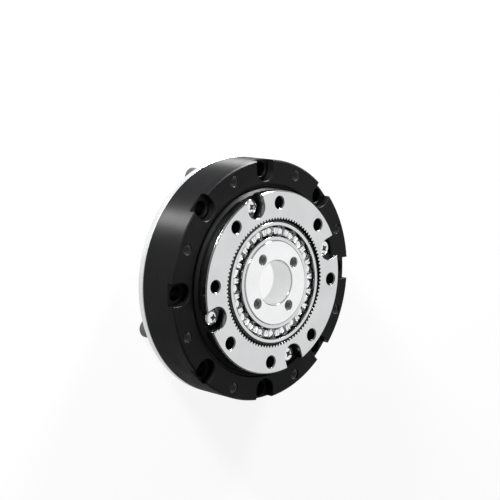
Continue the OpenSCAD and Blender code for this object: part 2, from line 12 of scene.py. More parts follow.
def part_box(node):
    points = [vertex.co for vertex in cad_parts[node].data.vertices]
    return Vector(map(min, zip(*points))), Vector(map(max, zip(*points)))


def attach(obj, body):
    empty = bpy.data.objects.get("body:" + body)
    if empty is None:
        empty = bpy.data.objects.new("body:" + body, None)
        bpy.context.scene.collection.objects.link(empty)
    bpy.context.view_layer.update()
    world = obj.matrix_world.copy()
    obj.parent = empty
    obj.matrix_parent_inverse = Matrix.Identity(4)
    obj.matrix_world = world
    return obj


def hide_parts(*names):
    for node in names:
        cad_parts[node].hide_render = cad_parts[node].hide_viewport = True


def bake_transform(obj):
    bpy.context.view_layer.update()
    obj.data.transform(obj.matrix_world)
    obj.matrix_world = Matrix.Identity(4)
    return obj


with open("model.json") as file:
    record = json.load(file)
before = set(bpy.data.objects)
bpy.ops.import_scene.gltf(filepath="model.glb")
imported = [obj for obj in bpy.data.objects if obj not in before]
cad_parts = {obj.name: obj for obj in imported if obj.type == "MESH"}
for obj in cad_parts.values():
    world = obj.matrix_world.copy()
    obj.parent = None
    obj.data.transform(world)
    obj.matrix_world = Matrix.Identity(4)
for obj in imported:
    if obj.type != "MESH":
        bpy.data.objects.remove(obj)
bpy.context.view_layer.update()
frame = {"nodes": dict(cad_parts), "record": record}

bl_info = {
    "name": "Strain wave gear",
    "version": (1, 0, 0),
    "blender": (4, 5, 0),
    "location": "3D View > Sidebar > Gear",
    "description": "Makes the detailed pieces and finishes of a strain wave gear unit",
    "category": "Object",
}

MM = 0.001
MERGE = 1e-7                # distance at which two vertices become one
LATHE_MARKS = 5000.0        # noise scale of the marks that turning leaves on steel
THREAD_LAP = 0.05 * MM      # how far inside a thread's major radius its hole's wall is
THREAD_START = 0.15 * MM    # depth at which a thread's first turn begins
AXIS = Vector((0, 0, 1))
MOUNTS = {m["name"]: m for m in frame["record"]["mounts"]}


def circle_of(mount):
    """Radius in metres of the circle that a mount's holes lie on."""
    return MOUNTS[mount]["dims"]["pcd_mm"] / 2 * MM


def low(node):
    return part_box(node)[0]


def high(node):
    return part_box(node)[1]


def length(name, description, metres):
    return FloatProperty(name=name, description=description, default=metres,
                         subtype="DISTANCE", unit="LENGTH", precision=5)


def angle(name, description, degrees):
    return FloatProperty(name=name, description=description,
                         default=math.radians(degrees), subtype="ANGLE", unit="ROTATION")


def colour(name, description, value):
    return FloatVectorProperty(name=name, description=description, default=value,
                               size=3, min=0, max=1, subtype="COLOR")


# ---- Sizes and colours that a user would change ----

class GearSizes(PropertyGroup):
    """Sizes of the housing, the circular spline and the wave generator"""
    unit_r: length("Unit radius", "Outer radius of the black ring and the brim",
                   high("flexspline").x)
    ring_z0: length("Ring rear", "Height of the black ring's rear face", low("outer_ring").z)
    ring_z1: length("Ring front", "Height of the black ring's front face",
                    high("outer_ring").z)
    face_z: length("Spline face", "Height of the circular spline's face",
                   high("circular_spline").z)
    spline_z0: length("Spline rear", "Height of the circular spline's rear end",
                      low("circular_spline").z)
    seat_z: length("Flange seat", "Height of the seat under the circular spline's flange",
                   high("inner_ring_front").z)
    hub_z1: length("Hub face", "Height of the hub's front face",
                   high("wave_generator_hub").z)
    hub_z0: length("Hub rear", "Height of the hub's rear face", low("wave_generator_hub").z)
    race_z0: length("Race rear", "Height of the races' rear faces", low("flex_inner_race").z)
    race_z1: length("Race front", "Height of the races' front faces",
                    high("flex_inner_race").z)
    flange_r: length("Flange radius", "Radius of the circular spline's flange", 35 * MM)
    spigot_r: length("Spigot radius", "Radius of the circular spline's spigot", 27.5 * MM)
    land_r: length("Outer land", "Radius of the black ring's land beside the rollers",
                   36.4 * MM)
    seal_seat_r: length("Seal seat", "Radius of the front seal's seat", 36.9 * MM)
    seal_depth: length("Seal depth", "Depth of the front seal's seat", 3.4 * MM)
    track_depth: length("Track depth", "Radial depth of the room for the rollers", 2.9 * MM)
    housing_hole_r: length("Housing hole", "Radius of the through holes in the black ring",
                           2.75 * MM)
    pocket_w: length("Pocket width", "Width of the pockets for the bolt heads", 8.6 * MM)
    pocket_depth: length("Pocket depth", "Depth of the pockets", 3 * MM)
    notch_w: length("Notch width", "Width of the notches that clear the screw heads",
                    8.4 * MM)
    notch_circle_r: length("Notch circle", "Radius of the circle of the notches' screws",
                           31 * MM)
    output_hole_r: length("Output hole", "Radius of the circular spline's holes", 2.25 * MM)
    m4_major_r: length("M4 thread radius", "Radius over an M4 thread", 2 * MM)
    m4_core_r: length("M4 core radius", "Core radius of an M4 thread", 1.65 * MM)
    m4_pitch: length("M4 pitch", "Distance between two turns of an M4 thread", 0.7 * MM)
    ring_tap_depth: length("Ring thread depth", "Depth of the black ring's threads", 6 * MM)
    hub_bore_r: length("Hub bore", "Radius of the shaft bore", 8.5 * MM)
    hub_r: length("Hub radius", "Radius that the hub's oval seat is bent from", 16.07 * MM)
    shoulder_r: length("Hub shoulder", "Radius that the hub's shoulder is bent from",
                       17.3 * MM)
    ball_d: length("Ball", "Diameter of the balls", 5 * MM)
    ball_path_r: length("Ball path", "Radius that the balls' oval path is bent from",
                        19.61 * MM)
    groove_depth: length("Groove depth", "Depth of both ball grooves", 0.43 * MM)
    outer_race_r: length("Outer race", "Radius that the outer race's outside is bent from",
                         23.03 * MM)
    retainer_w: length("Retainer width", "Radial width of the ball retainer", 2.6 * MM)
    retainer_mouth: length("Retainer mouth", "Width between two fingers of the retainer",
                           4.1 * MM)
    edge: length("Edge", "Small chamfer on turned edges", 0.4 * MM)
    clearance: length("Clearance", "Gap between two pieces that would touch", 0.02 * MM)


class GearAngles(PropertyGroup):
    """Angles and counts of what repeats round the axis"""
    long_axis: angle("Long axis", "Angle of the wave generator's long axis", 35.8)
    output_hole: angle("Output hole", "Angle of the first hole in the circular spline", -4.1)
    finger: angle("Retainer finger", "Angle from the long axis to the first finger", 12.2)
    balls: IntProperty(name="Balls", description="Number of balls", default=21, min=3)
    flex_teeth: IntProperty(name="Teeth", description="Teeth of the flexspline", default=100,
                            min=20)


class GearColours(PropertyGroup):
    """Base colours of the finishes"""
    spline: colour("Circular spline", "Ground steel of the circular spline",
                   (0.66, 0.665, 0.67))
    hub: colour("Hub", "Bright turned steel of the hub", (0.88, 0.885, 0.89))
    race: colour("Races", "Ground bearing steel", (0.7, 0.705, 0.715))
    flex: colour("Flexspline", "Alloy steel of the flexspline", (0.71, 0.715, 0.72))
    ball: colour("Balls", "Polished balls and rollers", (0.86, 0.865, 0.87))
    retainer: colour("Retainer", "Bright metal of the ball retainer", (0.9, 0.9, 0.9))
    black: colour("Black ring", "Black finish of the bearing's outer ring",
                  (0.0025, 0.0025, 0.0028))
    black_screw: colour("Black screws", "Black finish of the socket screws",
                        (0.005, 0.005, 0.0055))
    bright_screw: colour("Bright screws", "Nickel plate of the cross-recessed screws",
                         (0.84, 0.84, 0.835))
    rubber: colour("Rubber", "Black rubber of the seals", (0.004, 0.004, 0.004))
    nylon: colour("Nylon", "Pale nylon of the roller spacers", (0.76, 0.73, 0.62))
    floor: colour("Floor", "Pale studio floor", (0.86, 0.86, 0.86))


class GearStage(PropertyGroup):
    """Place of the camera and strength of the lights"""
    aim: FloatVectorProperty(name="Aim", description="Point that the camera looks at",
                             default=(0.011049, 0.000378, 0.012), size=3,
                             subtype="TRANSLATION", unit="LENGTH", precision=6)
    distance: length("Distance", "Distance from the aim to the camera", 0.57683)
    azimuth: angle("Azimuth", "Direction that the camera looks in, 0 along +Y", 167.213)
    elevation: angle("Elevation", "Height of the camera above the horizon", 45.792)
    roll: angle("Roll", "Turn of the camera about its own axis", 99.293)
    lens: FloatProperty(name="Lens", description="Focal length on a 36 mm sensor",
                        default=108.201, subtype="DISTANCE_CAMERA", unit="CAMERA")
    ambient: FloatProperty(name="Ambient", description="Strength of the even studio light",
                           default=0.25, min=0, max=2)


# ---- The oval that the wave generator bends its bearing and the flexspline to ----
# Four arcs: two of END_ARC degrees to either side of the long axis, two between them.

DEFLECTION = 0.48 * MM
END_ARC = 53.1301
END_C = 3 * DEFLECTION
SIDE_C = 4 * DEFLECTION
END_SHIFT = 5 * DEFLECTION * (90 - END_ARC) / 90
SIDE_SHIFT = 5 * DEFLECTION - END_SHIFT


def oval_normal(t, r):
    """Direction in degrees of the oval's normal at mean angle t, bent from radius r."""
    turn = 180 * round(t / 180)
    u = t - turn
    end_t = END_ARC * (r - END_SHIFT) / r
    if abs(u) <= end_t:
        return turn + u * r / (r - END_SHIFT)
    return turn + math.copysign(END_ARC + (abs(u) - end_t) * r / (r + SIDE_SHIFT), u)


def oval_point(psi, r):
    """Point of the oval bent from radius r where its normal has direction psi."""
    nx, ny = math.cos(math.radians(psi)), math.sin(math.radians(psi))
    if abs(nx) >= math.cos(math.radians(END_ARC)):
        return math.copysign(END_C, nx) + (r - END_SHIFT) * nx, (r - END_SHIFT) * ny
    return (r + SIDE_SHIFT) * nx, -math.copysign(SIDE_C, ny) + (r + SIDE_SHIFT) * ny


def bend_to_oval(bm, long_axis, from_r=0.0):
    """Moves every vertex further out than from_r from its circle to the oval."""
    turn = math.degrees(long_axis)
    back = Matrix.Rotation(long_axis, 3, "Z")
    for v in bm.verts:
        r = math.hypot(v.co.x, v.co.y)
        if r < from_r:
            continue
        t = math.degrees(math.atan2(v.co.y, v.co.x)) - turn
        x, y = oval_point(oval_normal(t, r), r)
        v.co = back @ Vector((x, y, v.co.z))


# ---- Shapes ----

def turned(points, steps=192, soften=0.0, segments=2):
    """Solid of revolution of a closed outline of (radius, height) points, corners softened."""
    bm = bmesh.new()
    face = bm.faces.new([bm.verts.new((r, 0, z)) for r, z in points])
    if soften:
        corners = [v for v in bm.verts if v.co.x > MERGE]
        bmesh.ops.bevel(bm, geom=corners, offset=soften, segments=segments,
                        affect="VERTICES", profile=0.5, material=-1, clamp_overlap=True)
        face = max(bm.faces, key=lambda f: f.calc_area())
    bmesh.ops.delete(bm, geom=[face], context="FACES_ONLY")
    on_axis = [e for e in bm.edges if all(v.co.x < MERGE for v in e.verts)]
    bmesh.ops.delete(bm, geom=on_axis, context="EDGES")
    bmesh.ops.spin(bm, geom=bm.verts[:] + bm.edges[:], cent=(0, 0, 0), axis=AXIS,
                   angle=2 * math.pi, steps=steps, use_merge=True)
    bmesh.ops.remove_doubles(bm, verts=bm.verts, dist=MERGE)
    bmesh.ops.recalc_face_normals(bm, faces=bm.faces)
    return bm


def moved(bm, x=0.0, y=0.0, z=0.0):
    bmesh.ops.translate(bm, verts=bm.verts, vec=(x, y, z))
    return bm


def spun(bm, turn, axis="Z"):
    bmesh.ops.rotate(bm, verts=bm.verts, cent=(0, 0, 0), matrix=Matrix.Rotation(turn, 3, axis))
    return bm


def verts_of(geometry):
    return [g for g in geometry if isinstance(g, bmesh.types.BMVert)]


def cone(radius1, radius2, depth, segments):
    """Capped cone along the gear axis, its middle at the origin."""
    bm = bmesh.new()
    bmesh.ops.create_cone(bm, cap_ends=True, segments=segments, radius1=radius1,
                          radius2=radius2, depth=depth)
    return bm


def block(width, breadth, height):
    bm = bmesh.new()
    bmesh.ops.create_cube(bm, size=1)
    bmesh.ops.scale(bm, vec=(width, breadth, height), verts=bm.verts)
    return bm


def copy_of(obj):
    """bmesh copy of a piece's mesh."""
    bm = bmesh.new()
    bm.from_mesh(obj.data)
    return bm


def remesh(obj, bm):
    """Gives a piece the shape of bm, which is freed."""
    bm.to_mesh(obj.data)
    bm.free()


def around(bm, angles):
    """Copies all of bm to each angle in radians about the gear axis, without the first."""
    first = bm.verts[:] + bm.edges[:] + bm.faces[:]
    for a in angles:
        copy = bmesh.ops.duplicate(bm, geom=first)["geom"]
        bmesh.ops.rotate(bm, verts=verts_of(copy), cent=(0, 0, 0),
                         matrix=Matrix.Rotation(a, 3, "Z"))
    bmesh.ops.delete(bm, geom=verts_of(first), context="VERTS")
    return bm


def joined(*parts):
    """One bmesh of several, which are freed."""
    whole = bmesh.new()
    for bm in parts:
        mesh = bpy.data.meshes.new("part")
        bm.to_mesh(mesh)
        bm.free()
        whole.from_mesh(mesh)
        bpy.data.meshes.remove(mesh)
    return whole


def hole(radius, depth, chamfer, steps=48):
    """Cutter of a round hole sunk from z = 0, with a chamfered mouth."""
    over, lip = MM, 0.01 * MM
    return turned([(0, -depth), (radius, -depth), (radius, -chamfer),
                   (radius + chamfer + lip, lip), (radius + chamfer + lip, over), (0, over)],
                  steps=steps)


def slot(width, depth, reach, chamfer, steps=64):
    """Cutter of a slot sunk from z = 0, round about the origin and open towards +X."""
    over = MM
    bm = bmesh.new()
    bmesh.ops.create_circle(bm, cap_ends=True, radius=width / 2, segments=steps,
                            matrix=Matrix.Rotation(math.pi / steps, 4, "Z"))
    outer = [v for v in bm.verts if v.co.x > 0]
    bmesh.ops.translate(bm, verts=outer, vec=(reach, 0, 0))
    bmesh.ops.translate(bm, verts=bm.verts, vec=(0, 0, -depth))
    top = bm.faces[:]
    grow = 1 + 2 * chamfer / width
    for rise, scale in ((depth - chamfer, 1.0), (chamfer, grow), (over, 1.0)):
        if rise <= 0:
            continue
        made = bmesh.ops.extrude_face_region(bm, geom=top)["geom"]
        if len(bm.faces) > steps + 2:
            bmesh.ops.delete(bm, geom=top, context="FACES_ONLY")
        top = [g for g in made if isinstance(g, bmesh.types.BMFace)]
        verts = verts_of(made)
        bmesh.ops.translate(bm, verts=verts, vec=(0, 0, rise))
        bmesh.ops.scale(bm, verts=verts, vec=(scale, scale, 1))
    bmesh.ops.recalc_face_normals(bm, faces=bm.faces)
    return bm


def thread(major_r, core_r, pitch, depth, steps=24):
    """Ridge of an inner thread, which winds down from z = 0 to the depth."""
    bm = bmesh.new()
    root = major_r + 0.03 * MM
    turns = int((depth - pitch) / pitch)
    outline = [(root, 0.06), (core_r, 0.4), (core_r, 0.56), (root, 0.9)]
    bm.faces.new([bm.verts.new((r, 0, -z * pitch)) for r, z in outline])
    bmesh.ops.spin(bm, geom=bm.faces[:], cent=(0, 0, 0), axis=AXIS,
                   dvec=(0, 0, -pitch / steps), angle=-2 * math.pi * turns,
                   steps=turns * steps)
    bmesh.ops.remove_doubles(bm, verts=bm.verts, dist=MERGE)
    bmesh.ops.recalc_face_normals(bm, faces=bm.faces)
    return bm


def piece(bm, name, materials, body=None, replaced=(), sharp=32):
    """Object of bm with its finish, which rides on a body; edges sharper than sharp stay."""
    mesh = bpy.data.meshes.new(name)
    bm.to_mesh(mesh)
    bm.free()
    obj = bpy.data.objects.new(name, mesh)
    bpy.context.scene.collection.objects.link(obj)
    for material in materials:
        mesh.materials.append(material)
    if body:
        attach(obj, body)
    for node in replaced:
        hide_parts(node)
    shade(obj, sharp, even=False)
    return obj


def shade(obj, sharp=32, even=True):
    """Smooth shading between sharp edges, in which the large flat faces stay flat."""
    mesh = obj.data
    mesh.polygons.foreach_set("use_smooth", [True] * len(mesh.polygons))
    mesh.set_sharp_from_angle(angle=math.radians(sharp))
    if even:
        modifier = obj.modifiers.new("even", "WEIGHTED_NORMAL")
        modifier.weight = 90
        modifier.keep_sharp = True
        apply_modifiers(obj)


def cut(obj, cutter):
    """Takes the cutter's shape out of the object."""
    mesh = bpy.data.meshes.new("cutter")
    cutter.to_mesh(mesh)
    cutter.free()
    tool = bpy.data.objects.new("cutter", mesh)
    bpy.context.scene.collection.objects.link(tool)
    modifier = obj.modifiers.new("cut", "BOOLEAN")
    modifier.operation = "DIFFERENCE"
    modifier.solver = "EXACT"
    modifier.object = tool
    apply_modifiers(obj)
    bpy.data.objects.remove(tool)
    bpy.data.meshes.remove(mesh)


def apply_modifiers(obj):
    bpy.context.view_layer.update()
    evaluated = obj.evaluated_get(bpy.context.evaluated_depsgraph_get())
    mesh = bpy.data.meshes.new_from_object(evaluated)
    old = obj.data
    obj.modifiers.clear()
    obj.data = mesh
    mesh.name = old.name
    bpy.data.meshes.remove(old)


def finish_by_side(obj, *tests):
    """Gives each polygon the material after the first whose test it passes, if any."""
    for polygon in obj.data.polygons:
        polygon.material_index = next(
            (i + 1 for i, test in enumerate(tests) if test(polygon)), 0)


def across_axis(polygon):
    return abs(polygon.normal.z) > 0.9


def inside(wall_r):
    """Test for all polygons but those of an outer wall of that radius."""
    return lambda polygon: polygon.center.to_2d().length < wall_r - 0.1 * MM


def merged_copy(node):
    """bmesh copy of a CAD node, its loose triangles merged."""
    bm = copy_of(frame["nodes"][node])
    bmesh.ops.remove_doubles(bm, verts=bm.verts, dist=MERGE)
    return bm


# ---- Finishes ----

class Nodes:
    """Short way to add and link the nodes of a material or of the world."""

    def __init__(self, owner):
        owner.use_nodes = True
        self.tree = owner.node_tree

    def add(self, kind, inputs=None, **settings):
        node = self.tree.nodes.new("ShaderNode" + kind)
        for key, value in settings.items():
            setattr(node, key, value)
        for key, value in (inputs or {}).items():
            self.feed(node, key, value)
        return node

    def feed(self, node, key, value):
        """Links a socket to a node's input, or sets the input to a plain value."""
        if isinstance(value, bpy.types.NodeSocket):
            self.tree.links.new(value, node.inputs[key])
        else:
            node.inputs[key].default_value = value

    def math(self, operation, *values):
        return self.add("Math", dict(enumerate(values)), operation=operation).outputs[0]

    def ramp(self, value, from_low, from_high, to_low, to_high, kind="LINEAR"):
        return self.add("MapRange", dict(enumerate((value, from_low, from_high, to_low,
                                                    to_high))),
                        interpolation_type=kind).outputs[0]

    def seen_directly(self, mirrored):
        """1 for camera rays, mirrored for those of metal and glass, else 0."""
        path = self.add("LightPath").outputs
        bright = self.math("MAXIMUM", path["Is Glossy Ray"], path["Is Transmission Ray"])
        return self.math("MULTIPLY_ADD", bright, mirrored, path["Is Camera Ray"])


class Finish(Nodes):
    """Nodes of one new material, whose patterns lie on Object coordinates."""

    def __init__(self, name):
        self.material = bpy.data.materials.new(name)
        super().__init__(self.material)
        self.place = self.add("TexCoord").outputs["Object"]

    def set(self, socket, value):
        self.feed(self.tree.nodes["Principled BSDF"], socket, value)

    def noise(self, scale, detail=2.0, roughness=0.5):
        return self.add("TexNoise", {"Vector": self.place, "Scale": scale, "Detail": detail,
                                     "Roughness": roughness}).outputs["Fac"]

    def spread(self, value, low_value, high_value, from_low=0.3, from_high=0.7):
        return self.ramp(value, from_low, from_high, low_value, high_value)

    def mix(self, share, a, b):
        a, b = (value if isinstance(value, bpy.types.NodeSocket) else (*value, 1)
                for value in (a, b))
        return self.add("Mix", {0: share, 6: a, 7: b}, data_type="RGBA").outputs[2]

    def rings(self, scale, detail):
        """Lathe marks: noise along the radius and the height, the same all the way round."""
        split = self.add("SeparateXYZ", {0: self.place}).outputs
        flat = self.add("CombineXYZ", {0: split[0], 1: split[1]}).outputs[0]
        radius = self.add("VectorMath", {0: flat}, operation="LENGTH").outputs["Value"]
        return self.add("TexNoise", {"W": self.math("ADD", radius, split[2]), "Scale": scale,
                                     "Detail": detail, "Roughness": 0.6},
                        noise_dimensions="1D").outputs["Fac"]

    def bump(self, height, strength, distance, normal=None):
        inputs = {"Height": height, "Strength": strength, "Distance": distance}
        if normal is not None:
            inputs["Normal"] = normal
        return self.add("Bump", inputs).outputs["Normal"]

    def brush_round(self, anisotropy):
        """Spreads the gloss along the gear axis, across the lathe marks of a wall."""
        along = self.add("CombineXYZ", {2: 1.0}).outputs[0]
        self.set("Anisotropic", anisotropy)
        self.set("Tangent", self.add("VectorTransform", {0: along}, vector_type="VECTOR",
                                     convert_from="OBJECT", convert_to="WORLD").outputs[0])


# Colour times share. A share below 1 in the finish table is painted shade; in the clouds and
# scuffs of the finishes the share is random tone.
def shaded(base, share):
    return tuple(c * share for c in base)


def metal(name, base, roughness, rings=0.0, grain=0.0, streak=0.0):
    """Bare steel: clouds in its tone, lathe marks, fine grain and a little uneven gloss."""
    n = Finish(name)
    cloud = n.noise(90, 4, 0.6)
    fine = n.noise(2600, 3, 0.6)
    n.set("Base Color", n.mix(n.spread(cloud, 0, 1), shaded(base, 0.93), base))
    uneven = n.spread(cloud, roughness * 0.88, roughness * 1.12)
    uneven = n.math("ADD", uneven, n.spread(fine, -0.03, 0.03))
    if streak:
        uneven = n.math("ADD", uneven, n.spread(n.rings(LATHE_MARKS / 6, 3), -streak, streak))
    n.set("Roughness", uneven)
    n.set("Metallic", 1.0)
    normal = None
    if rings:
        normal = n.bump(n.rings(LATHE_MARKS, 2), rings, 0.004 * MM)
    if grain:
        normal = n.bump(fine, grain, 0.006 * MM, normal)
    n.set("Normal", normal)
    return n.material


def dark_finish(name, base, roughness, level, rings=0.3, grain=0.3, anisotropy=0.0):
    """Black finish on turned steel: faint lathe marks under it, fine grain, tiny scuffs."""
    n = Finish(name)
    cloud = n.noise(120, 4, 0.6)
    fine = n.noise(3200, 3, 0.6)
    scuff = n.spread(n.noise(700, 6, 0.72), 0, 1, 0.64, 0.8)
    tone = n.mix(n.spread(cloud, 0, 1), shaded(base, 0.8), shaded(base, 1.15))
    n.set("Base Color", n.mix(n.math("MULTIPLY", scuff, 0.35), tone, shaded(base, 2.6)))
    uneven = n.spread(cloud, roughness * 0.9, roughness * 1.1)
    uneven = n.math("ADD", uneven, n.spread(n.rings(900, 3), -0.03, 0.03))
    n.set("Roughness", uneven)
    n.set("Specular IOR Level", level)
    normal = n.bump(n.rings(5200, 2), rings, 0.004 * MM)
    n.set("Normal", n.bump(fine, grain, 0.005 * MM, normal))
    if anisotropy:
        n.brush_round(anisotropy)
    return n.material


def soft_finish(name, base, roughness, level=0.4):
    """Rubber or nylon: a matt moulded skin with slight clouds."""
    n = Finish(name)
    cloud = n.noise(200, 3)
    fine = n.noise(1800, 4, 0.6)
    n.set("Base Color", n.mix(n.spread(cloud, 0, 1), shaded(base, 0.85), base))
    n.set("Roughness", n.spread(fine, roughness * 0.9, roughness * 1.1))
    n.set("Specular IOR Level", level)
    n.set("Normal", n.bump(fine, 0.4, 0.01 * MM))
    return n.material


def finish(context, name):
    """Material of that name, made once."""
    if name not in bpy.data.materials:
        c = context.scene.gear_colours
        kind, base, share, roughness, details = FINISHES[name]
        kind(name, shaded(getattr(c, base), share), roughness, **details)
    return bpy.data.materials[name]


# Of each finish: its kind, base colour, how much of that colour is left, roughness, details. A
# share below 1 is painted shade: a darker copy of the same colour for walls, hollows and gaps.
FINISHES = {
    "spline_face": (metal, "spline", 1, 0.36, {"grain": 0.5, "rings": 0.15}),
    # Painted shade: the circular spline's outer wall is its steel at 0.7 of the colour, darker
    # than its face.
    "spline_wall": (metal, "spline", 0.7, 0.15, {"rings": 0.3}),
    # Painted shade: the circular spline's tooth flanks, hole walls and notch walls are its
    # steel at 0.34 of the colour.
    "cut_steel": (metal, "spline", 0.34, 0.2, {"grain": 0.2}),
    # Painted shade: the black ring's threads are bare steel at 0.13 of the colour, dark as the
    # holes' shade.
    "thread_steel": (metal, "spline", 0.13, 0.13, {"grain": 0.1}),
    "flexspline": (metal, "flex", 1, 0.3, {"rings": 0.25, "grain": 0.2, "streak": 0.04}),
    # Painted shade: the flexspline's outer tooth flanks are its steel at 0.16 of the colour.
    "tooth_steel": (metal, "flex", 0.16, 0.26, {"grain": 0.2}),
    # Painted shade: the front end of the flexspline's rim and teeth is its steel at 0.06 of
    # the colour, a painted dark line.
    "tooth_end": (metal, "flex", 0.06, 0.34, {"grain": 0.2}),
    "hub_face": (metal, "hub", 1, 0.34, {"rings": 0.35, "grain": 0.3, "streak": 0.05}),
    "hub_bore": (metal, "hub", 1, 0.07, {"rings": 0.12, "streak": 0.02}),
    # Painted shade: the races' walls by the balls and the hub's threads are the race steel at
    # 0.4 of the colour.
    "race_wall": (metal, "race", 0.4, 0.16, {"rings": 0.2}),
    "race_face": (metal, "race", 1, 0.24, {"rings": 0.35, "streak": 0.04}),
    "polished": (metal, "ball", 1, 0.07, {"grain": 0.04}),
    "retainer": (metal, "retainer", 1, 0.3, {"grain": 0.3}),
    "bright_screw": (metal, "bright_screw", 1, 0.16, {"grain": 0.15}),
    # Painted shade: the screws' cross recesses are the nickel at 0.3 of its colour.
    "recess": (metal, "bright_screw", 0.3, 0.35, {"grain": 0.3}),
    "black_wall": (dark_finish, "black", 1, 0.5, {"level": 0.19, "anisotropy": 1.0}),
    "black_face": (dark_finish, "black", 1, 0.42,
                   {"level": 0.1, "grain": 0.5, "rings": 0.15}),
    "black_screw": (dark_finish, "black_screw", 1, 0.3, {"level": 0.3, "rings": 0.1}),
    "rubber": (soft_finish, "rubber", 1, 0.7, {"level": 0.15}),
    "nylon": (soft_finish, "nylon", 1, 0.45, {}),
}


def refinish(context, node, name):
    """Gives a CAD node its finish, and leaves its mesh alone."""
    obj = frame["nodes"][node]
    for place in obj.material_slots:
        place.material = finish(context, name)


def evenly(count, first=0.0):
    return [first + 2 * math.pi * i / count for i in range(count)]


# ---- Housing ----

class GEAR_OT_outer_ring(Operator):
    """Makes the black ring with its pockets, through holes and threads"""
    bl_idname = "gear.outer_ring"
    bl_label = "Outer ring"

    def execute(self, context):
        s = context.scene.gear_sizes
        e = s.edge
        track_r, mouth_r = s.land_r + s.track_depth, s.land_r + e
        track_z0 = s.ring_z0 + 1.2 * MM
        track_z1 = high("rollers_leaning_out").z + 0.6 * MM
        seal_z = s.ring_z1 - s.seal_depth
        outline = [
            (s.unit_r - e / 2, s.ring_z0), (s.unit_r, s.ring_z0 + e / 2),
            (s.unit_r, s.ring_z1 - 1.5 * e), (s.unit_r - 1.5 * e, s.ring_z1),
            (s.seal_seat_r + e, s.ring_z1), (s.seal_seat_r, s.ring_z1 - e),
            (s.seal_seat_r, seal_z), (s.land_r, seal_z),
            (s.land_r, track_z1), (track_r, track_z1),
            (track_r, track_z0), (mouth_r, track_z0), (mouth_r, s.ring_z0)]
        ring = piece(turned(outline, steps=256, soften=0.12 * MM), "black_ring",
                     [finish(context, "black_wall"), finish(context, "black_face")],
                     "housing", ["outer_ring"])
        r = circle_of("housing_bolts")
        thickness = s.ring_z1 - s.ring_z0
        holes, taps = evenly(8), evenly(8, math.pi / 8)
        cut(ring, around(moved(slot(s.pocket_w, s.pocket_depth, 2 * s.pocket_w, e / 2),
                               r, 0, s.ring_z1), holes))
        cut(ring, around(moved(hole(s.housing_hole_r, thickness, 0.3 * MM),
                               r, 0, s.ring_z1 - s.pocket_depth), holes))
        cut(ring, around(moved(hole(s.m4_major_r - THREAD_LAP, s.ring_tap_depth, e / 2),
                               r, 0, s.ring_z1), taps))
        finish_by_side(ring, inside(s.unit_r))
        shade(ring)
        # The threads are darkened bare steel: painted shade in the holes.
        piece(around(moved(thread(s.m4_major_r, s.m4_core_r, s.m4_pitch, s.ring_tap_depth),
                           r, 0, s.ring_z1 - THREAD_START), taps),
              "black_ring_threads", [finish(context, "thread_steel")], "housing")
        return {"FINISHED"}


class GEAR_OT_flexspline(Operator):
    """Makes the flexspline from a copy of its CAD shape, with chamfered tooth ends"""
    bl_idname = "gear.flexspline"
    bl_label = "Flexspline"

    def execute(self, context):
        bm = merged_copy("flexspline")
        foot, rim = 3.3 * MM, 15.2 * MM
        for i in range(1, 12):
            height = foot + (rim - foot) * i / 12
            bmesh.ops.bisect_plane(bm, geom=bm.verts[:] + bm.edges[:] + bm.faces[:],
                                   dist=MERGE, plane_co=(0, 0, height), plane_no=AXIS)
        self.soften_tooth_ends(bm, context)
        flex = piece(bm, "flexspline_cup", [finish(context, "flexspline"),
                                            finish(context, "tooth_steel"),
                                            finish(context, "tooth_end")],
                     replaced=["flexspline"], sharp=25)
        # Outward faces of the teeth get the flexspline's steel darkened for painted shade
        # between the teeth; the front end gets it darker still, a painted dark line.
        end = high("flexspline").z - 0.7 * MM
        finish_by_side(flex, lambda p: p.center.z > rim and p.center.z < end
                       and not across_axis(p) and p.normal.dot(p.center) > 0,
                       lambda p: p.center.z > end)
        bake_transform(flex)
        return {"FINISHED"}

    def soften_tooth_ends(self, bm, context):
        """Chamfers the front ends of the teeth, deepest at their tips."""
        front = high("flexspline").z
        root, tip = 23.5 * MM, 24.38 * MM
        chamfer = 0.6 * MM
        bmesh.ops.bisect_plane(bm, geom=bm.verts[:] + bm.edges[:] + bm.faces[:], dist=MERGE,
                               plane_co=(0, 0, front - chamfer), plane_no=AXIS)
        for v in bm.verts:
            r = v.co.to_2d().length
            t = math.atan2(v.co.y, v.co.x) - context.scene.gear_angles.long_axis
            over = r - DEFLECTION * math.cos(2 * t) - root
            if v.co.z > front - 1e-6 and over > 0:
                keep = (r - chamfer * over / (tip - root)) / r
                v.co.x *= keep
                v.co.y *= keep


class GEAR_OT_seals(Operator):
    """Finishes the front seal and the O-ring"""
    bl_idname = "gear.seals"
    bl_label = "Seals"

    def execute(self, context):
        refinish(context, "front_seal", "rubber")
        refinish(context, "brim_o_ring", "rubber")
        return {"FINISHED"}


def cap_screw(s, head_r, head_h):
    """Turned body of a cap screw, head down, its seat at z = 0 on the axis."""
    rim, shank = 0.5 * MM, 2.9 * MM
    return turned([(0, -head_h), (head_r - rim, -head_h), (head_r, -head_h + rim),
                   (head_r, -s.clearance), (s.m4_major_r, -s.clearance),
                   (s.m4_major_r, shank), (0, shank)], steps=72, soften=0.12 * MM)


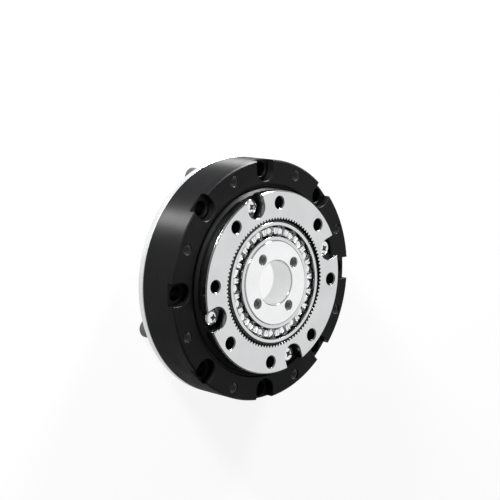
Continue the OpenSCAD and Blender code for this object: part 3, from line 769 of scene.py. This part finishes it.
class GEAR_OT_brim_screws(Operator):
    """Makes the four socket screws that hold the brim to the black ring"""
    bl_idname = "gear.brim_screws"
    bl_label = "Brim screws"

    def execute(self, context):
        s = context.scene.gear_sizes
        head_r, head_h = 3.5 * MM, 4 * MM
        hexagon = 1.5 * MM / math.cos(math.radians(30))
        screw = piece(cap_screw(s, head_r, head_h), "brim_screws",
                      [finish(context, "black_screw")], "housing",
                      ["brim_screws_m4"])
        cut(screw, moved(cone(hexagon, hexagon, 4 * MM, 6), z=-head_h))
        floor, over = -head_h + 0.2 * MM, -head_h - MM
        cut(screw, turned([(0, over), (hexagon + 1.1 * MM, over),
                           (hexagon - 0.1 * MM, floor), (0, floor)], steps=48))
        valley = 0.22 * MM
        cut(screw, around(moved(cone(valley, valley, 2.6 * MM, 3), head_r + 0.08 * MM, 0,
                                -1.7 * MM), evenly(36)))
        remesh(screw, around(moved(copy_of(screw), circle_of("housing_bolts")),
                             evenly(4, math.pi / 8)))
        shade(screw)
        return {"FINISHED"}


# ---- Output ----

def tooth_spaces(s, a):
    """Cutter of the circular spline's tooth spaces."""
    teeth, module, backlash = a.flex_teeth + 2, DEFLECTION, 0.09 * MM
    pitch_r = module * teeth / 2
    half = (math.pi * module / 2 + backlash / 2) / 2
    slope = math.tan(math.radians(25))
    tip_h, root_h = -0.6 * MM, 0.47 * MM
    outline = [(tip_h, -half + tip_h * slope), (root_h, -half + root_h * slope),
               (root_h, half - root_h * slope), (tip_h, half - tip_h * slope)]
    bm = bmesh.new()
    bottom = s.spline_z0 - MM
    face = bm.faces.new([bm.verts.new((pitch_r + h, y, bottom)) for h, y in outline])
    made = bmesh.ops.extrude_face_region(bm, geom=[face])["geom"]
    bmesh.ops.translate(bm, verts=verts_of(made),
                        vec=(0, 0, s.face_z - s.spline_z0 + 2 * MM))
    bmesh.ops.recalc_face_normals(bm, faces=bm.faces)
    return around(bm, evenly(teeth, a.long_axis))


class GEAR_OT_circular_spline(Operator):
    """Makes the circular spline with its teeth, holes and notches"""
    bl_idname = "gear.circular_spline"
    bl_label = "Circular spline"

    def execute(self, context):
        s, a = context.scene.gear_sizes, context.scene.gear_angles
        e = s.edge
        teeth = a.flex_teeth + 2
        tip_r = DEFLECTION * teeth / 2 - 0.4 * MM
        lead = 0.18 * MM
        outline = [
            (tip_r + lead, s.spline_z0), (s.spigot_r - e, s.spline_z0),
            (s.spigot_r, s.spline_z0 + e), (s.spigot_r, s.seat_z),
            (s.flange_r - e / 2, s.seat_z), (s.flange_r, s.seat_z + e / 2),
            (s.flange_r, s.face_z - e), (s.flange_r - e, s.face_z),
            (tip_r + lead, s.face_z), (tip_r, s.face_z - lead), (tip_r, s.spline_z0 + lead)]
        spline = piece(turned(outline, steps=3 * teeth, soften=0.05 * MM),
                       "circular_spline_body",
                       [finish(context, name)
                        for name in ("spline_wall", "spline_face", "cut_steel")],
                       "output", ["circular_spline"])
        cut(spline, tooth_spaces(s, a))
        flange = s.face_z - s.seat_z
        cut(spline, around(moved(hole(s.output_hole_r, flange + MM, e),
                                 circle_of("output_bolts"), 0, s.face_z),
                           evenly(8, a.output_hole)))
        cut(spline, around(moved(slot(s.notch_w, flange + 0.01 * MM, s.flange_r, 0.3 * MM),
                                 s.notch_circle_r, 0, s.face_z),
                           evenly(4, a.output_hole + math.pi / 8)))
        # Outer wall and inner walls get darker copies of the face's steel: painted shade.
        finish_by_side(spline, across_axis, inside(s.flange_r))
        shade(spline, 25)
        piece(around(moved(thread(s.m4_core_r, 1.35 * MM, s.m4_pitch, 5 * MM, steps=20),
                           circle_of("output_bolts"), 0, s.seat_z - 0.3 * MM),
                     evenly(8, a.output_hole)),
              "output_threads", [finish(context, "black_screw")], "output")
        return {"FINISHED"}


class GEAR_OT_bearing_rings(Operator):
    """Finishes the two halves of the inner ring, the rollers and their spacers"""
    bl_idname = "gear.bearing_rings"
    bl_label = "Crossed-roller bearing"

    def execute(self, context):
        refinish(context, "inner_ring_front", "black_face")
        refinish(context, "inner_ring_rear", "black_face")
        refinish(context, "rollers_leaning_out", "polished")
        refinish(context, "rollers_leaning_in", "polished")
        refinish(context, "roller_spacers", "nylon")
        return {"FINISHED"}


def cross_blade(width, reach, depth, turn):
    """Cutter of one slot of a cross recess, sunk from z = 0 and tapered to its point."""
    bm = moved(block(2 * reach, width, depth + MM), z=(MM - depth) / 2)
    for v in bm.verts:
        if v.co.z < 0:
            v.co.x *= 0.45
            v.co.y *= 0.7
    return spun(bm, turn)


class GEAR_OT_ring_screws(Operator):
    """Makes the cross-recessed screws that join the two halves of the inner ring"""
    bl_idname = "gear.ring_screws"
    bl_label = "Cross-recessed screws"

    def execute(self, context):
        s, a = context.scene.gear_sizes, context.scene.gear_angles
        head_r, head_h, rim_h = 3 * MM, 2.3 * MM, 1.15 * MM
        shank_r, shank, lift = 1.5 * MM, 3 * MM, 0.01 * MM
        outline = [(0, -shank), (shank_r, -shank), (shank_r, lift),
                   (head_r - 0.15 * MM, lift), (head_r, 0.15 * MM), (head_r, rim_h)]
        outline += [(head_r * math.cos(math.radians(t)) ** 0.62,
                     rim_h + (head_h - rim_h) * math.sin(math.radians(t)))
                    for t in (20, 35, 50, 64, 76)]
        outline += [(0, head_h)]
        screw = piece(turned(outline, steps=72), "cross_recessed_screws",
                      [finish(context, "bright_screw"), finish(context, "recess")],
                      "output", ["inner_ring_screws_m3"])
        for turn in (0, math.pi / 2):
            cut(screw, moved(cross_blade(0.72 * MM, 1.75 * MM, 1.5 * MM, turn), z=head_h))
        cut(screw, moved(cone(0.35 * MM, 1.15 * MM, 1.9 * MM, 32), z=head_h - 0.35 * MM))
        # The recess gets the darkened nickel: painted shade.
        finish_by_side(screw, lambda p: p.center.to_2d().length < 2 * MM
                       and 0.2 * MM < p.center.z < head_h - 0.25 * MM)
        places = evenly(4, a.output_hole + math.pi / 8)
        turns = (0.35, 1.1, 0.75, 0.2)
        remesh(screw, joined(*(
            around(moved(spun(copy_of(screw), turn), s.notch_circle_r, 0, s.seat_z), [place])
            for place, turn in zip(places, turns))))
        shade(screw)
        return {"FINISHED"}


# ---- Input ----

class GEAR_OT_hub(Operator):
    """Makes the wave generator's hub with its shaft bore and threads"""
    bl_idname = "gear.hub"
    bl_label = "Wave generator hub"

    def execute(self, context):
        s, a = context.scene.gear_sizes, context.scene.gear_angles
        e = s.edge
        shoulder, seat_z = s.shoulder_r, s.race_z0 - s.clearance
        outline = [
            (s.hub_bore_r + e, s.hub_z0), (shoulder - e, s.hub_z0),
            (shoulder, s.hub_z0 + e), (shoulder, seat_z),
            (s.hub_r, seat_z), (s.hub_r, s.hub_z1 - e),
            (s.hub_r - e, s.hub_z1), (s.hub_bore_r + e, s.hub_z1),
            (s.hub_bore_r, s.hub_z1 - e), (s.hub_bore_r, s.hub_z0 + e)]
        bm = turned(outline, steps=192, soften=0.08 * MM)
        bend_to_oval(bm, a.long_axis, from_r=15 * MM)
        hub = piece(bm, "hub_body", [finish(context, "hub_bore"),
                                     finish(context, "hub_face")],
                    "wave_generator", ["wave_generator_hub"])
        r = circle_of("input_threads")
        thickness = s.hub_z1 - s.hub_z0
        places = evenly(4, a.long_axis)
        cut(hub, around(moved(hole(s.m4_major_r - THREAD_LAP, thickness + MM, e / 2),
                              r, 0, s.hub_z1), places))
        finish_by_side(hub, across_axis)
        shade(hub)
        # The hub's threads get the darkened race steel: painted shade in the holes.
        piece(around(moved(thread(s.m4_major_r, s.m4_core_r, s.m4_pitch, thickness), r, 0,
                           s.hub_z1 - THREAD_START), places),
              "hub_threads", [finish(context, "race_wall")], "wave_generator")
        return {"FINISHED"}


def race_outline(s, back_r, out):
    """Closed outline of a race from its plain side to its ball groove; out is 1 or -1."""
    middle = (s.race_z0 + s.race_z1) / 2
    reach = s.ball_d / 2 + s.clearance
    land = s.ball_path_r + out * (reach - s.groove_depth)
    lip = 0.12 * MM
    span = math.acos((reach - s.groove_depth) / reach)
    outline = [(back_r, s.race_z0 + lip), (back_r, s.race_z1 - lip),
               (back_r - out * lip, s.race_z1), (land + out * lip, s.race_z1),
               (land, s.race_z1 - lip)]
    for i in range(9):
        t = span * (1 - i / 4)
        outline.append((s.ball_path_r + out * reach * math.cos(t),
                        middle + reach * math.sin(t)))
    return outline + [(land, s.race_z0 + lip), (land + out * lip, s.race_z0),
                      (back_r - out * lip, s.race_z0)]


class GEAR_OT_races(Operator):
    """Makes the thin races of the wave generator's bearing"""
    bl_idname = "gear.races"
    bl_label = "Flexible races"

    def execute(self, context):
        s, a = context.scene.gear_sizes, context.scene.gear_angles
        for name, node, back_r, out in (
                ("inner_race", "flex_inner_race", s.hub_r + s.clearance, -1),
                ("outer_race", "flex_outer_race", s.outer_race_r, 1)):
            bm = turned(race_outline(s, back_r, out), steps=180)
            bend_to_oval(bm, a.long_axis)
            race = piece(bm, name, [finish(context, "race_wall"),
                                    finish(context, "race_face")],
                         "wave_generator", [node])
            # The walls get the darkened race steel, painted shade in the gaps; the faces keep
            # the full colour.
            finish_by_side(race, across_axis)
        return {"FINISHED"}


class GEAR_OT_balls(Operator):
    """Finishes the balls and makes the retainer whose fingers part them"""
    bl_idname = "gear.balls"
    bl_label = "Balls and retainer"

    def execute(self, context):
        s, a = context.scene.gear_sizes, context.scene.gear_angles
        refinish(context, "flex_balls", "polished")
        middle = (s.race_z0 + s.race_z1) / 2
        pocket_r = s.ball_d / 2 + 0.1 * MM
        z0, z1 = middle - pocket_r - 0.7 * MM, middle + pocket_r + 0.1 * MM
        half = s.retainer_w / 2
        outline = [(s.ball_path_r - half, z0), (s.ball_path_r + half, z0),
                   (s.ball_path_r + half, z1), (s.ball_path_r - half, z1)]
        ring = piece(turned(outline, steps=12 * a.balls, soften=0.35 * MM, segments=4),
                     "retainer_crown", [finish(context, "retainer")], "wave_generator",
                     ["ball_retainer"])
        first = a.long_axis + a.finger - math.pi / a.balls
        places = evenly(a.balls, first)
        pocket = bmesh.new()
        bmesh.ops.create_uvsphere(pocket, u_segments=32, v_segments=20, radius=pocket_r)
        cut(ring, around(moved(pocket, s.ball_path_r, 0, middle), places))
        through, above, groove_r = 8 * MM, 4 * MM, 0.28 * MM
        mouth_z = middle + math.sqrt(pocket_r ** 2 - (s.retainer_mouth / 2) ** 2)
        cut(ring, around(moved(block(through, s.retainer_mouth, above), s.ball_path_r,
                               0, mouth_z + above / 2), places))
        groove = spun(cone(groove_r, groove_r, through, 12), math.pi / 2, "Y")
        cut(ring, around(moved(groove, s.ball_path_r, 0, z1 + s.clearance),
                         evenly(a.balls, a.long_axis + a.finger)))
        bm = copy_of(ring)
        sharp = [e for e in bm.edges if len(e.link_faces) == 2
                 and e.calc_face_angle(0) > math.radians(40)]
        bmesh.ops.bevel(bm, geom=sharp, offset=0.12 * MM, segments=2, affect="EDGES",
                        profile=0.5, material=-1, clamp_overlap=True)
        bend_to_oval(bm, a.long_axis)
        remesh(ring, bm)
        shade(ring, 40)
        return {"FINISHED"}


# ---- Stage ----

def area_light(name, azimuth, elevation, distance, width, height, power, aim):
    """Soft light at that bearing from the aim, 0 degrees along +X, turned to face it."""
    a, e = math.radians(azimuth), math.radians(elevation)
    towards = Vector((math.cos(a) * math.cos(e), math.sin(a) * math.cos(e), math.sin(e)))
    light = bpy.data.lights.new(name, "AREA")
    light.shape = "RECTANGLE"
    light.size, light.size_y, light.energy = width, height, power
    obj = bpy.data.objects.new(name, light)
    obj.location = aim + towards * distance
    obj.rotation_euler = towards.to_track_quat("Z", "Y").to_euler()
    bpy.context.scene.collection.objects.link(obj)
    return obj


CARD_DIRECTION = (-0.17, -0.68, 0.71)


def floor_material(base):
    """Pale floor that camera rays and mirrors see at nearly full strength, with a shadow."""
    material = bpy.data.materials.new("floor")
    n = Nodes(material)
    shader, output = n.tree.nodes["Principled BSDF"], n.tree.nodes["Material Output"]
    n.feed(shader, "Base Color", (*base, 1))
    n.feed(shader, "Roughness", 0.8)
    glow = 0.88
    lit = n.add("MixShader", {0: n.math("MULTIPLY", n.seen_directly(mirrored=0.75), glow),
                              1: shader.outputs[0], 2: n.add("Emission").outputs[0]})
    front = n.add("MixShader", {0: n.add("NewGeometry").outputs["Backfacing"],
                                1: lit.outputs[0], 2: n.add("BsdfTransparent").outputs[0]})
    n.feed(output, 0, front.outputs[0])
    return material


def studio(scene, ambient):
    """White behind the gear, even light on it, and a bright card over it for its metal."""
    world = scene.world = bpy.data.worlds.new("studio")
    n = Nodes(world)
    towards = n.add("TexCoord").outputs["Generated"]
    height = n.add("SeparateXYZ", {0: towards}).outputs[2]
    near_card = n.add("VectorMath", {0: towards, 1: CARD_DIRECTION}, operation="DOT_PRODUCT"
                      ).outputs["Value"]
    sky = n.ramp(height, 0.1, 0.55, 0.1, 0.42, "SMOOTHSTEP")
    card = n.ramp(near_card, 0.25, 0.85, sky, 1.0, "SMOOTHSTEP")
    path = n.add("LightPath").outputs
    on_things = n.add("Mix", {0: path["Is Glossy Ray"], 2: ambient, 3: card}).outputs[0]
    straight = n.math("MAXIMUM", path["Is Camera Ray"], path["Is Transmission Ray"])
    seen = n.add("Mix", {0: straight, 2: on_things, 3: 1.0}).outputs[0]
    background = n.tree.nodes["Background"]
    n.feed(background, 0, (1, 1, 1, 1))
    n.feed(background, 1, seen)


def camera_at(g, aim):
    """Camera at its distance and direction from the aim, turned about its own axis."""
    camera = bpy.data.cameras.new("camera")
    camera.sensor_width, camera.lens, camera.clip_start = 36, g.lens, 0.01
    flat = math.cos(g.elevation)
    back = Vector((math.sin(g.azimuth) * flat, -math.cos(g.azimuth) * flat,
                   math.sin(g.elevation)))
    level = AXIS.cross(back).normalized()
    right = math.cos(g.roll) * level + math.sin(g.roll) * back.cross(level)
    turn = Matrix((right, back.cross(right), back)).transposed().to_4x4()
    eye = bpy.data.objects.new("camera", camera)
    eye.matrix_world = Matrix.Translation(aim + g.distance * back) @ turn
    bpy.context.scene.collection.objects.link(eye)
    return eye


class GEAR_OT_stage(Operator):
    """Makes the pale floor, the soft lights and the camera"""
    bl_idname = "gear.stage"
    bl_label = "Studio"

    def execute(self, context):
        scene = context.scene
        g = scene.gear_stage
        aim = Vector(g.aim)
        bm = bmesh.new()
        bmesh.ops.create_circle(bm, cap_ends=True, radius=4, segments=96)
        bm.normal_update()
        for face in bm.faces:
            if face.normal.z < 0:
                face.normal_flip()
        floor = piece(moved(bm, z=low("brim_screws_m4").z), "floor",
                      [floor_material(scene.gear_colours.floor)])
        studio(scene, g.ambient)
        area_light("wall_light", azimuth=41, elevation=8, distance=0.8, width=0.14,
                   height=0.2, power=24.0, aim=aim)
        area_light("top_light", azimuth=-30, elevation=8, distance=0.8, width=0.16,
                   height=0.2, power=20.0, aim=aim)
        scene.camera = camera_at(g, aim)
        scene.view_settings.view_transform = "Standard"
        return {"FINISHED"}


class GEAR_PT_sidebar(Panel):
    """Lists the gear's pieces, sizes and colours"""
    bl_idname = "GEAR_PT_sidebar"
    bl_label = "Strain wave gear"
    bl_space_type = "VIEW_3D"
    bl_region_type = "UI"
    bl_category = "Gear"

    def draw(self, context):
        for maker in MAKERS:
            self.layout.operator(maker.bl_idname)
        for group in (context.scene.gear_sizes, context.scene.gear_angles,
                      context.scene.gear_colours, context.scene.gear_stage):
            box = self.layout.box()
            for name in group.__annotations__:
                box.prop(group, name)


GROUPS = {"gear_sizes": GearSizes, "gear_angles": GearAngles, "gear_colours": GearColours,
          "gear_stage": GearStage}
MAKERS = [GEAR_OT_stage, GEAR_OT_outer_ring, GEAR_OT_flexspline, GEAR_OT_seals,
          GEAR_OT_brim_screws, GEAR_OT_circular_spline, GEAR_OT_bearing_rings,
          GEAR_OT_ring_screws, GEAR_OT_hub, GEAR_OT_races, GEAR_OT_balls]
CLASSES = [*GROUPS.values(), *MAKERS, GEAR_PT_sidebar]


def register():
    for cls in CLASSES:
        bpy.utils.register_class(cls)
    for name, group in GROUPS.items():
        setattr(bpy.types.Scene, name, PointerProperty(type=group))


def unregister():
    for name in GROUPS:
        delattr(bpy.types.Scene, name)
    for cls in reversed(CLASSES):
        bpy.utils.unregister_class(cls)


def main():
    register()
    for maker in MAKERS:
        family, name = maker.bl_idname.split(".")
        getattr(getattr(bpy.ops, family), name)()


if __name__ == "__main__":
    main()
